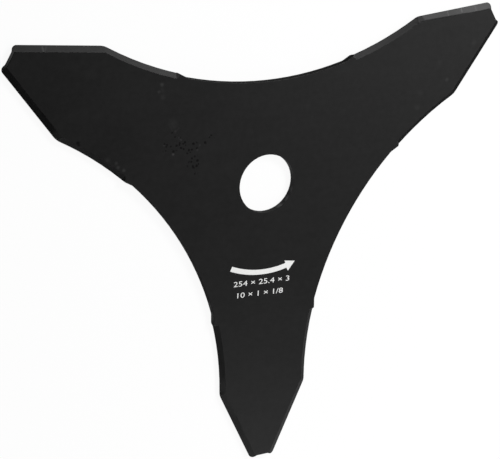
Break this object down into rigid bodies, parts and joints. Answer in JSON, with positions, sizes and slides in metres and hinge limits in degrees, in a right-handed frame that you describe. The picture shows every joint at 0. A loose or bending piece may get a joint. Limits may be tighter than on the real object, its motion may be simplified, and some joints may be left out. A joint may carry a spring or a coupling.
{
  "type": "brush cutter blade",
  "caption": "Flat steel blade for a brush cutter, with tapering arms ground to cutting edges on both sides and a central arbor bore.",
  "frame": {"origin": "axis of the arbor bore, at the level of the back face that the blade lies on", "axes": "+Z out of the printed front face, along the bore's axis; one arm, which carries the print, points along -Y"},
  "size_m": [0.2248, 0.1951, 0.003],
  "materials": {
    "coating": "satin black coating over steel, ground edges coated as well",
    "print": "thin matt white printing ink"
  },
  "bodies": {
    "root": {"blade": "coating"}
  },
  "joints": []
}
